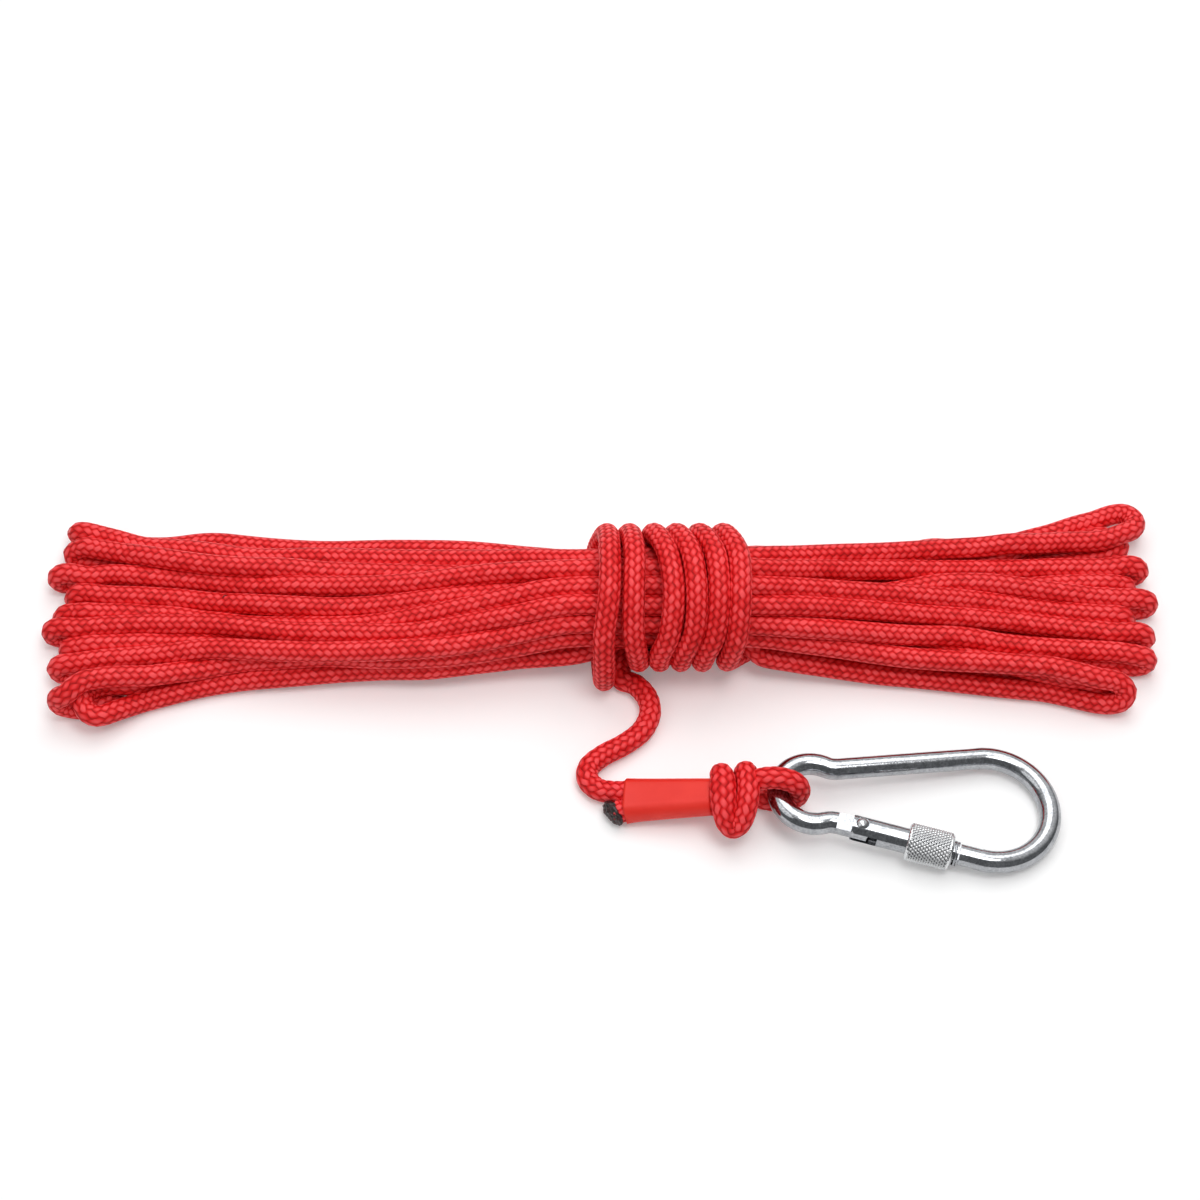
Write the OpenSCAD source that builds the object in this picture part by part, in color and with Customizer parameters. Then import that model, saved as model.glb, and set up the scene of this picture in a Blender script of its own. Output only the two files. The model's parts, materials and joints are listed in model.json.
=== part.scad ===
// Utility lead rope: a braided cord wound into a hank, bound with six turns of
// itself, and ended in an eye that holds a screw-lock carabiner.
// Millimetres, +Z up. The origin is under the middle of the part, on the floor.

/* [Rope] */
// Rope diameter
rope_d = 8; // [6:0.5:8.5]
// Air kept between rope and the parts it is wound round
rope_gap = 0.3; // [0.2:0.05:0.5]

/* [Hank] */
// Length of the hank over its folds
hank_len = 427; // [400:1:460]
// Width of the fanned ends
fan_w = 89.2; // [84:0.2:96]
// Height of the fanned ends, about two ropes
fan_h = 16; // [14:0.5:19]
// Diameter of the bundle where it is bound
bundle_d = 38.4; // [36:0.2:39.6]
// Depth in which the hank lies behind the origin
hank_y = 25; // [22:0.5:28]

/* [Binding] */
// Turns of the binding
turns = 6; // [4:1:7]
// Distance from turn to turn
turn_pitch = 8.6; // [8.6:0.1:9.5]
// Place of the first turn along the hank
turn_x = 2.5; // [-5:0.5:6]

/* [Eye] */
// Place of the rope eye's centre along X
eye_x = 63.9; // [62:0.1:66]
// Place of the rope eye's centre along Y
eye_y = -49.8; // [-51:0.1:-48]
// Free play of the wire inside the rope eye
eye_play = 0.4; // [0.3:0.05:0.8]
// Turn of the carabiner on the floor
yaw = -3; // [-6:0.5:2]
// Distance from turn to turn in the knot
knot_pitch = 8.6; // [8.6:0.1:9.2]
// Distance from the knot to the eye's centre
knot_to_eye = 7.6; // [7.2:0.1:8.4]

/* [Heat-shrink sleeve] */
// Length of the sleeve
shrink_len = 29; // [22:0.5:31]
// Wall of the sleeve
shrink_wall = 0.9; // [0.5:0.1:1]
// Air between the sleeve and the two ropes in it
shrink_gap = 0.15; // [0.1:0.05:0.3]

/* [Carabiner frame] */
// Wire diameter
wire_d = 8; // [7:0.2:8.6]
// Centre-line radius of the small end
small_r = 12.6; // [12.4:0.1:14]
// Centre-line radius of the bow
bow_r = 21.8; // [20:0.1:23.4]
// Distance between the centres of both ends
centre_gap = 64.4; // [63:0.2:70]
// Slope of both arms to the long axis
arm_angle = 11; // [10:0.5:12.5]
// Centre-line radius of the waist bends
waist_r = 8; // [7:0.5:9]

/* [Gate] */
// Gate diameter
gate_d = 9.2; // [8.6:0.1:9.6]
// Gate length from rivet to nose end
gate_len = 35.3; // [34:0.1:35.6]
// Rivet's distance from the end of the waist bend
hinge_at = 8.8; // [8:0.1:10]
// Thickness of the frame's hinge tongue
tongue_t = 4; // [3:0.2:4.4]
// Reach of the tongue past the rivet
tongue_reach = 3.6; // [3.2:0.1:4]
// Air on each side of tongue and nose key in their slots
slot_gap = 0.3; // [0.2:0.05:0.4]
// Depth of the hinge slot past the rivet
slot_reach = 6.2; // [5.4:0.1:7]
// Rivet diameter
rivet_d = 3; // [2.4:0.1:3.4]
// Rivet head diameter
rivet_head_d = 4.6; // [4.2:0.1:5]
// Running clearance of the rivet in the tongue, on radius
rivet_gap = 0.06; // [0.03:0.01:0.1]

/* [Nose] */
// Thickness of the key on the frame's nose
key_t = 3; // [2.4:0.1:3.6]
// Height of the key
key_h = 6.4; // [5.6:0.1:6.8]
// Length of the key, short enough for the unlocked sleeve to swing past it
key_len = 2; // [1.5:0.1:2]
// Air between the gate's end and the frame's nose
nose_gap = 0.5; // [0.4:0.05:0.8]

/* [Gate spring] */
// Bore for the spring
bore_d = 4.8; // [4.4:0.1:5.2]
// Depth of the bore past the rivet
bore_reach = 20; // [18:0.5:22]
// Plunger diameter
plunger_d = 4; // [3.4:0.1:4.2]
// Plunger length
plunger_len = 5; // [4.4:0.1:6]
// Spring wire diameter
spring_wire = 0.6; // [0.4:0.05:0.8]
// Turns of the spring
spring_turns = 7; // [5:1:9]

/* [Screw sleeve] */
// Diameter over the knurl
nut_d = 14; // [12.6:0.1:14.1]
// Length
nut_len = 16.3; // [14:0.1:17]
// Chamfer at both ends
nut_chamfer = 0.9; // [0.5:0.1:1.2]
// Air between the sleeve's bore and the gate, on radius
nut_gap = 0.2; // [0.15:0.05:0.3]
// Bare thread between the sleeve and the gate's end, unlocked
nut_back = 2.3; // [2.3:0.1:3]
// Diameter over the gate's thread
thread_d = 8.8; // [8.2:0.1:8.8]
// Length of the gate's thread
thread_len = 14; // [12:0.5:16]

/* [Hidden] */
$fn = 64;
eps = 0.01;

red = [0.78, 0.09, 0.11];
shrink_red = [0.9, 0.2, 0.16];
char = [0.09, 0.07, 0.07];
zinc = [0.78, 0.79, 0.8];
zinc_dark = [0.6, 0.61, 0.63];

// ---------- sweeps ----------
// Faces between rings of points, with both ends closed.
function skin_faces(rings, sides) = concat(
    [for (i = [0:rings - 2], j = [0:sides - 1])
        let (k = (j + 1) % sides)
        [i * sides + j, i * sides + k, (i + 1) * sides + k, (i + 1) * sides + j]],
    [[for (j = [sides - 1:-1:0]) j]],
    [[for (j = [0:sides - 1]) (rings - 1) * sides + j]]);

module skin(rings) {
    sides = len(rings[0]);
    polyhedron(points = [for (ring = rings) each ring],
               faces = skin_faces(len(rings), sides), convexity = 6);
}

function unit(v) = v / norm(v);

// A smooth curve through the points of a route.
function route_point(route, t) =
    let (last = len(route) - 1, i = min(floor(t), last - 1), f = t - i,
         a = route[max(i - 1, 0)], b = route[i], c = route[i + 1], d = route[min(i + 2, last)])
    0.5 * (2 * b + (c - a) * f + (2 * a - 5 * b + 4 * c - d) * f * f
           + (3 * b - a - 3 * c + d) * f * f * f);

// A tube of a given diameter along a route that is never upright.
module tube_along(route, d, rings, sides = 12) {
    last = len(route) - 1;
    step = last / (rings - 1);
    skin([for (i = [0:rings - 1])
        let (t = i * step, here = route_point(route, t),
             ahead = unit(route_point(route, min(t + 0.05, last))
                          - route_point(route, max(t - 0.05, 0))),
             side = unit(cross([0, 0, 1], ahead)), up = cross(ahead, side))
        [for (j = [0:sides - 1])
            let (q = 360 * j / sides) here + d / 2 * (cos(q) * side + sin(q) * up)]]);
}

// ---------- rope ----------
rope_r = rope_d / 2;
bundle_r = bundle_d / 2;
turn_r = bundle_r + rope_gap + rope_r;      // centre line of a binding turn
bundle_z = turn_r + rope_r;                 // the turns stand on the floor

// Stations of the hank: place along it, sideways drift as a share of the fan's
// width, spread from bound to fanned, and drop from the bundle's height to the floor.
hank_stations = [
    [-1.00, 0.056, 0.62, 1], [-0.99, 0.056, 0.86, 1], [-0.965, 0.056, 0.96, 1],
    [-0.90, 0.056, 0.95, 1], [-0.75, 0.056, 0.76, 1], [-0.58, 0.056, 0.58, 1],
    [-0.42, 0.056, 0.42, 0.94], [-0.28, 0.045, 0.28, 0.8], [-0.16, 0.022, 0.13, 0.5],
    [-0.08, 0.006, 0.03, 0.15], [-0.03, 0, 0, 0], [0.25, 0, 0, 0], [0.30, 0.011, 0.03, 0.15],
    [0.38, 0.028, 0.13, 0.5], [0.48, 0.045, 0.27, 0.8], [0.60, 0.067, 0.43, 0.96],
    [0.74, 0.09, 0.66, 1], [0.86, 0.101, 0.87, 1], [0.95, 0.112, 1, 1], [0.98, 0.112, 0.96, 1],
    [0.995, 0.112, 0.84, 1], [1.00, 0.112, 0.62, 1]];
hank_end_pinch = [0.35, 0.7, 0.95];         // the folds' round noses
fan_square = 3.4;                           // roundness 2 is an ellipse
fan_swell = 1.08;                           // upper folds stand a little prouder

function mix(a, b, t) = a + (b - a) * t;
function pinch(i, n) = let (k = min(i, n - 1 - i)) k < 3 ? hank_end_pinch[k] : 1;
function power(v, p) = sign(v) * pow(abs(v), p);

module rope_hank() {
    n = len(hank_stations);
    sides = 28;
    color(red) skin([for (i = [0:n - 1])
        let (s = hank_stations[i], wide = mix(bundle_r, fan_w / 2, s[2]),
             full = mix(bundle_r, fan_h / 2, pow(s[3], 0.75)), tall = full * pinch(i, n),
             mid = mix(bundle_z, fan_h / 2, s[3]), soft = 2 / mix(2, fan_square, s[3]))
        [for (j = [0:sides - 1])
            let (q = 360 * j / sides)
            [s[0] * hank_len / 2, hank_y + s[1] * fan_w + wide * power(cos(q), soft),
             max(0, mid + tall * power(sin(q), soft) * mix(1, fan_swell, s[3]))]]]);
}

module rope_binding() {
    color(red) for (i = [0:turns - 1])
        translate([turn_x + i * turn_pitch, hank_y, bundle_z]) rotate([0, 90, 0])
            rotate_extrude() translate([turn_r, 0]) circle(d = rope_d);
}

// Both ropes of the eye lie side by side in the sleeve and in the knot.
pair_air = 0.1;                             // between each rope and the line midway
pair_half = rope_r + pair_air;
shrink_r = rope_r + shrink_gap + shrink_wall;
knot_z = 3 * rope_r;
knot_y = eye_y - 2;
knot_end = eye_x - knot_to_eye;             // right-hand side of the knot
knot_x = knot_end - rope_r - knot_pitch;    // its first turn
knot_start = knot_x - rope_r;
sleeve_clear = 0.8;                         // keeps the ropes' slanted ends off the knot
sleeve_inset = 0.5;                         // and the sleeve's own end behind them
sleeve_sag = 0.8;                           // its ropes run in lower than the knot's
sleeve_slant = 2.3;                         // and it lies at a slant to the knot
shrink_end = [knot_start - sleeve_clear, knot_y, knot_z - sleeve_sag];
shrink_start = [shrink_end[0] - shrink_len, knot_y + sleeve_slant, shrink_r + pair_air];
shrink_run = shrink_end - shrink_start;
shrink_turn = atan2(shrink_run[1], shrink_run[0]);
shrink_rise = asin(shrink_run[2] / norm(shrink_run));

// The rope's way from the binding to the sleeve, chosen by hand from the photo.
tail_route = [[8, 4.5, 4], [13, 2, 4], [17.5, -4, 4], [18.5, -11, 4], [15.5, -18.5, 4],
              [9, -24.5, 4], [1, -29.5, 4], [-4, -34.5, 4], [-4.5, -39.5, 4], [-1, -43.8, 4]];
// The cut end's way out of the sleeve, up to its melted tip.
end_route = [[7.5, -53.8, 4.7], [5, -53.6, 4.2]];

module rope_tail() {
    back = [0, pair_half, 0];
    route = concat(tail_route, [[4, -45.4, 4.5], shrink_start + back, (shrink_start + shrink_end) / 2 + back,
                    shrink_end + back]);
    color(red) tube_along(route, rope_d, 40);
}

front = [0, -pair_half, 0];
end_way = concat([shrink_end + front, (shrink_start + shrink_end) / 2 + front,
                  shrink_start + front], end_route);

module rope_end() {
    color(red) tube_along(end_way, rope_d, 12);
}

module melted_tip() {
    last = len(end_way) - 1;
    out = end_way[last] - route_point(end_way, last - 0.05);
    dip = asin(out[2] / norm(out));
    color(char) translate(end_way[last]) rotate([0, -dip, atan2(out[1], out[0])])
        rotate([0, 90, 0]) rotate_extrude() intersection() {
            circle(d = rope_d);
            square([rope_r, rope_r]);
        }
}

// A turn of rope round two ropes: half rings joined by straight stretches.
module oval_turn(r, flat) {
    for (s = [-1, 1]) {
        translate([0, s * flat / 2, 0]) rotate([0, 90, 0]) rotate([0, 0, s > 0 ? 0 : 180])
            rotate_extrude(angle = 180) translate([r, 0]) circle(d = rope_d);
        translate([0, -flat / 2, s * r]) rotate([-90, 0, 0]) cylinder(d = rope_d, h = flat);
    }
}

// Two turns round the two ropes, whose ends are cut on the slant of the sleeve.
module rope_knot() {
    core_d = rope_d - 0.3;
    color(red) {
        for (i = [0, 1]) translate([knot_x + i * knot_pitch, knot_y, knot_z])
            oval_turn(2 * rope_r, 2 * pair_half + rope_d - core_d);
        for (s = [-1, 1]) difference() {
            translate([knot_start - rope_r, knot_y + s * pair_half, knot_z])
                rotate([0, 90, 0]) cylinder(d = core_d, h = knot_end - knot_start + rope_r);
            translate(shrink_end + [0, s * pair_half, 0]) rotate([0, 0, shrink_turn])
                rotate([0, -shrink_rise, 0]) translate([-rope_d, -rope_d, -rope_d])
                    cube([rope_d, 2 * rope_d, 2 * rope_d]);
        }
    }
}

// ---------- place of the carabiner ----------
wire_r = wire_d / 2;
eye_r = wire_r + eye_play + rope_r;         // centre line of the rope eye
eye_z = rope_r + eye_r;                     // its lower strand lies on the floor
long = small_r + centre_gap + bow_r;        // wire centre to wire centre
tilt = asin((eye_z - wire_r) / long);

module at_eye(lean = 0) {
    translate([eye_x, eye_y, eye_z]) rotate([0, 0, yaw]) rotate([0, lean, 0]) children();
}

module rope_eye() {
    reach = (eye_x - knot_end) / cos(yaw);
    color(red) at_eye() {
        rotate([90, 0, 0]) rotate([0, 0, -90])
            rotate_extrude(angle = 180) translate([eye_r, 0]) circle(d = rope_d);
        for (s = [-1, 1]) translate([-reach, 0, s * eye_r]) rotate([0, 90, 0])
            cylinder(d = rope_d, h = reach);
    }
}

module heat_shrink_sleeve() {
    color(shrink_red) translate(shrink_end) rotate([0, 0, shrink_turn])
        rotate([0, -shrink_rise, 0]) rotate([0, -90, 0]) translate([0, 0, sleeve_inset])
            linear_extrude(height = shrink_len) difference() {
                slot_outline(shrink_r);
                slot_outline(shrink_r - shrink_wall);
            }
}

module slot_outline(r) {
    for (s = [-1, 1]) translate([0, s * pair_half]) circle(r = r);
    square([2 * r, 2 * pair_half], center = true);
}

// ---------- carabiner outline, in its own plane ----------
// Origin on the wire's centre line at the small end, X along the long axis.
small_c = [small_r, 0];
bow_c = [small_r + centre_gap, 0];
along = [cos(arm_angle), sin(arm_angle)];
across = [-sin(arm_angle), cos(arm_angle)];
arm_top = bow_c + bow_r * across;           // where the arm runs into the bow
small_at = [(small_c - arm_top) * along, (small_c - arm_top) * across];
waist_lift = waist_r - small_at[1];
waist_back = sqrt(pow(small_r + waist_r, 2) - waist_lift * waist_lift);
arm_len = -(small_at[0] + waist_back);
arm_foot = arm_top - arm_len * along;       // where the arm leaves the waist bend
waist_c = arm_foot + waist_r * across;
small_end_angle = atan2(waist_lift, waist_back) + arm_angle;

// Each stretch runs a little into the one before it and is a hair thinner, so that
// the wire is one solid: level 0 are the two ends, 1 the waists, 2 the straight arms.
lap = 0.6;
hair = 0.05;
function wire_at(level) = wire_d - 2 * hair * level;
function lap_angle(r) = lap / r * 180 / PI;

module bend(centre, r, from, to, level = 0) {
    translate(centre) rotate([0, 0, from]) rotate_extrude(angle = to - from)
        translate([r, 0]) circle(d = wire_at(level));
}

// Children drawn along the gate-side arm: X runs from the waist to the bow.
module on_gate_arm(at = 0) {
    translate([arm_foot[0], -arm_foot[1], 0]) rotate([0, 0, -arm_angle])
        translate([at, 0, 0]) children();
}

module rod(d, from, to) {
    translate([from, 0, 0]) rotate([0, 90, 0]) cylinder(d = d, h = to - from);
}

module slab(from, to, high, thick) {
    translate([from, -high / 2, -thick / 2]) cube([to - from, high, thick]);
}

// A cylinder across the carabiner's plane.
module cross_hole(at, d, h) {
    translate([at, 0, -h / 2]) cylinder(d = d, h = h);
}

module hinge_tongue() {
    bevel = 1.2;
    difference() {
        intersection() {
            rod(wire_at(2), -lap, hinge_at + tongue_reach);
            slab(-lap, hinge_at + tongue_reach, wire_d, tongue_t);
        }
        cross_hole(hinge_at, rivet_d + 2 * rivet_gap, wire_d);
        for (s = [-1, 1]) translate([hinge_at + tongue_reach, s * wire_r, 0])
            rotate([0, 0, 45]) cube([bevel * sqrt(2), bevel * sqrt(2), wire_d], center = true);
    }
}

module nose_key() {
    nose = hinge_at + gate_len + nose_gap;
    intersection() {
        rod(wire_at(2), nose - key_len, nose + lap);
        slab(nose - key_len, nose + lap, key_h, key_t);
    }
}

module waist_bend() {
    bend(waist_c, waist_r, 180 + small_end_angle - lap_angle(waist_r), 270 + arm_angle, 1);
}

module carabiner_frame() {
    color(zinc) at_eye(tilt) {
        bend(bow_c, bow_r, -90 - arm_angle, 90 + arm_angle);
        bend(small_c, small_r, small_end_angle, 360 - small_end_angle);
        waist_bend();
        mirror([0, 1, 0]) waist_bend();
        translate(arm_foot) rotate([0, 0, arm_angle]) rod(wire_at(2), -lap, arm_len + lap);
        on_gate_arm() {
            hinge_tongue();
            nose_key();
            rod(wire_at(2), hinge_at + gate_len + nose_gap, arm_len + lap);
        }
    }
}

// ---------- gate, with the rivet's centre as its origin ----------
module at_hinge() {
    at_eye(tilt) on_gate_arm(hinge_at) children();
}

fork_back = 3.4;                            // fork ends behind the rivet
seat_depth = 0.5;                           // spot faces under the rivet's heads
head_play = 0.2;                            // air round each head in its spot face
rivet_fit = 0.02;                           // air round the rivet in the gate
key_play = 0.5;                             // air in front of the key in its slot
seat = gate_d / 2 - seat_depth;
key_slot = key_len - nose_gap + key_play;   // slot in the gate's end

module gate() {
    color(zinc) at_hinge() difference() {
        union() {
            intersection() {
                rod(gate_d, -fork_back, 0);
                cross_hole(0, gate_d, gate_d);
            }
            rod(gate_d, 0, gate_len - thread_len);
            rod(thread_d, gate_len - thread_len, gate_len);
        }
        slab(-gate_d, slot_reach, 2 * gate_d, tongue_t + 2 * slot_gap);
        cross_hole(0, rivet_d + 2 * rivet_fit, 2 * gate_d);
        for (s = [-1, 1]) translate([0, 0, s * (seat + gate_d / 2)])
            cylinder(d = rivet_head_d + 2 * head_play, h = gate_d, center = true);
        rod(bore_d, slot_reach - eps, bore_reach);
        slab(gate_len - key_slot, gate_len + 1, 2 * gate_d, key_t + 2 * slot_gap);
    }
}

module hinge_rivet() {
    head_h = 1.1;
    dome_r = (pow(rivet_head_d / 2, 2) + head_h * head_h) / (2 * head_h);
    color(zinc_dark) at_hinge() {
        cylinder(d = rivet_d, h = 2 * seat, center = true);
        for (s = [0, 180]) rotate([s, 0, 0]) translate([0, 0, seat])
            rotate_extrude() intersection() {
                translate([0, head_h - dome_r]) circle(r = dome_r);
                square([rivet_head_d / 2, head_h]);
            }
    }
}

plunger_play = 0.1;                         // air between the plunger and the tongue
spring_play = 0.05;                         // air at both ends of the spring
spring_air = 0.15;                          // and round it, in the bore
spigot_air = 0.35;                          // between the spring and the plunger's spigot
plunger_at = tongue_reach + plunger_play;
spigot_d = bore_d - 2 * (spring_wire + spring_air + spigot_air);

module spring_plunger() {
    spigot = 3;
    color(zinc_dark) at_hinge() {
        rod(plunger_d, plunger_at, plunger_at + plunger_len);
        rod(spigot_d, plunger_at + plunger_len - eps, plunger_at + plunger_len + spigot);
    }
}

module gate_spring() {
    steps = 12;
    sides = 6;
    from = plunger_at + plunger_len + spring_wire / 2 + spring_play;
    to = bore_reach - spring_wire / 2 - spring_play;
    r = bore_d / 2 - spring_wire / 2 - spring_air;
    n = spring_turns * steps;
    color(zinc_dark) at_hinge() skin([for (i = [0:n])
        let (q = 360 * i / steps, out = [0, cos(q), sin(q)])
        [for (j = [0:sides - 1])
            let (w = 360 * j / sides)
            [mix(from, to, i / n), 0, 0] + (r + spring_wire / 2 * cos(w)) * out
            + [spring_wire / 2 * sin(w), 0, 0]]]);
}

module screw_sleeve() {
    from = gate_len - nut_back - nut_len;
    color(zinc) at_hinge() translate([from, 0, 0]) rotate([0, 90, 0]) rotate_extrude()
        polygon([[gate_d / 2 + nut_gap, 0], [nut_d / 2 - nut_chamfer, 0],
                 [nut_d / 2, nut_chamfer], [nut_d / 2, nut_len - nut_chamfer],
                 [nut_d / 2 - nut_chamfer, nut_len], [gate_d / 2 + nut_gap, nut_len]]);
}

rope_hank();
rope_binding();
rope_tail();
rope_end();
melted_tip();
rope_knot();
rope_eye();
heat_shrink_sleeve();
carabiner_frame();
gate();
hinge_rivet();
spring_plunger();
gate_spring();
screw_sleeve();
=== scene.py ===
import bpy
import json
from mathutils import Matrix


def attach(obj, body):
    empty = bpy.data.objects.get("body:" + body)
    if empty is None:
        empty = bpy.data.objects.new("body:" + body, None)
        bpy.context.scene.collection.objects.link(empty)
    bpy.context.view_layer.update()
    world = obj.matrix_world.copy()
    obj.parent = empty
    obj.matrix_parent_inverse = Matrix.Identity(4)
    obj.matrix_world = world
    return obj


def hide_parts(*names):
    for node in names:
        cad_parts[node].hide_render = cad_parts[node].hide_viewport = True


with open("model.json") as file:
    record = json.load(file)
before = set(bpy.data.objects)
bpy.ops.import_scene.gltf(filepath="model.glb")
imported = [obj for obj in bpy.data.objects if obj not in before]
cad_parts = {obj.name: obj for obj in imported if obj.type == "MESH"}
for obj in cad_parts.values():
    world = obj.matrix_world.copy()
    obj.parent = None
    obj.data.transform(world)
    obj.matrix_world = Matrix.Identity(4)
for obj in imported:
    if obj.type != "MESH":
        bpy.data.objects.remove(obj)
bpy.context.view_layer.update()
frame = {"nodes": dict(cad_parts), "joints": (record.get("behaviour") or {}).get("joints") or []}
print("frame loaded")

import bpy
import bmesh
import json
import math
import numpy as np
from mathutils import Matrix, Vector, noise
from mathutils.bvhtree import BVHTree

mm = 0.001
scene = bpy.context.scene

# Camera, settled on the photo's carabiner bow and on the rope's thickness.
camera = {"lens": 85, "sensor": 36, "elevation": 54, "distance": 1.08233, "aim": (0, 0.0438, 0),
          "shift": (0, 0), "near": 0.05, "far": 20}


def makeCamera():
    data = bpy.data.cameras.new("camera")
    data.lens, data.sensor_width = camera["lens"], camera["sensor"]
    data.sensor_fit = "AUTO"
    data.shift_x, data.shift_y = camera["shift"]
    data.clip_start, data.clip_end = camera["near"], camera["far"]
    tilt = math.radians(camera["elevation"])
    back = Vector((0, -math.cos(tilt), math.sin(tilt)))
    eye = bpy.data.objects.new("camera", data)
    eye.location = Vector(camera["aim"]) + back * camera["distance"]
    eye.rotation_euler = (math.pi / 2 - tilt, 0, 0)
    scene.collection.objects.link(eye)
    scene.camera = eye
    return eye


eye = makeCamera()
print("camera placed")

# Where the photo shows things, in its pixels: the outline's edges without the cords, and
# features by the middle of what shows of them.
photo = {"w": 1200, "h": 1200}
imagePoints = {
    "bowRight": (1058, None), "bowTop": (None, 749), "bowBottom": (None, 872), "tipLeft": (602, None),
    "rivetHead": (859.7, 822.6), "nutMiddle": (930.2, 844.2), "threadMiddle": (955.5, 852),
    "sleeveMiddle": (668.3, 798.6), "tipMiddle": (612.3, 813.8), "strayFibre": (225, 597)}
frameSide = max(photo["w"], photo["h"])
focal = frameSide * camera["lens"] / camera["sensor"]  # in pixels
# Where a sight line that meets nothing is tried, in shares of the camera's distance.
probe = {"from": 0.7, "step": 0.005, "count": 120}


# The first place that the sight line through a point of the photo meets, or the one nearest it.
def placeInView(tree, point):
    x, y = imagePoints[point]
    across = x - photo["w"] / 2 + camera["shift"][0] * frameSide
    rise = photo["h"] / 2 - y + camera["shift"][1] * frameSide
    ray = (eye.matrix_basis.to_3x3() @ Vector((across, rise, -focal))).normalized()
    place, normal = tree.ray_cast(eye.location, ray)[:2]
    if place is None:
        spots = [probe["from"] + probe["step"] * k for k in range(probe["count"])]
        near = [tree.find_nearest(eye.location + ray * camera["distance"] * spot) for spot in spots]
        place, normal = min(near, key=lambda found: found[3])[:2]
    return place, normal


# Where places show in the photo's frame.
def pixelsOf(places):
    own = (np.array(places) - eye.location) @ np.array(eye.matrix_basis.to_3x3())
    scale = focal / -own[:, 2]
    return np.stack([photo["w"] / 2 - camera["shift"][0] * frameSide + own[:, 0] * scale,
                     photo["h"] / 2 + camera["shift"][1] * frameSide - own[:, 1] * scale], 1)


# The rope, in millimetres: its diameter, the spacing of the points it settles on and how
# near two stretches of it may come. In each round of settling it sinks, goes back towards its
# place by the share "hold", but for "slide" of that along the line of sight, keeps its bends by
# "stiff", and parts by "push" where it is crowded, on which "share" spreads many neighbours.
# Pairs nearer than "apart" and "look" and more than "skip" points on are tried, "passes" times
# in a round, and found anew after "renew" rounds. No point is held more than "firmest".
rope = {"d": 8.0, "node": 4.0, "apart": 7.4, "rounds": 260, "sink": 0.03, "hold": 0.06,
        "slide": 0.9, "stiff": 0.35, "push": 0.35, "share": 0.6, "look": 3, "skip": 4,
        "passes": 2, "renew": 10, "firmest": 1.2}
# The bound waist of the hank: its axis, the outermost ring of strands in it and how far that
# may give, its run and how far the binding grips past it.
waist = {"y": 25.0, "z": 27.5, "r": 15.3, "give": 0.05, "x": (8, 20, 31, 42, 54), "past": 2}
# Strands in the waist: name letter, how many, radius, angle of the first one.
rings = [("o", 13, waist["r"], 26), ("i", 6, 7.75, 36), ("c", 1, 0, 0)]

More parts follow.
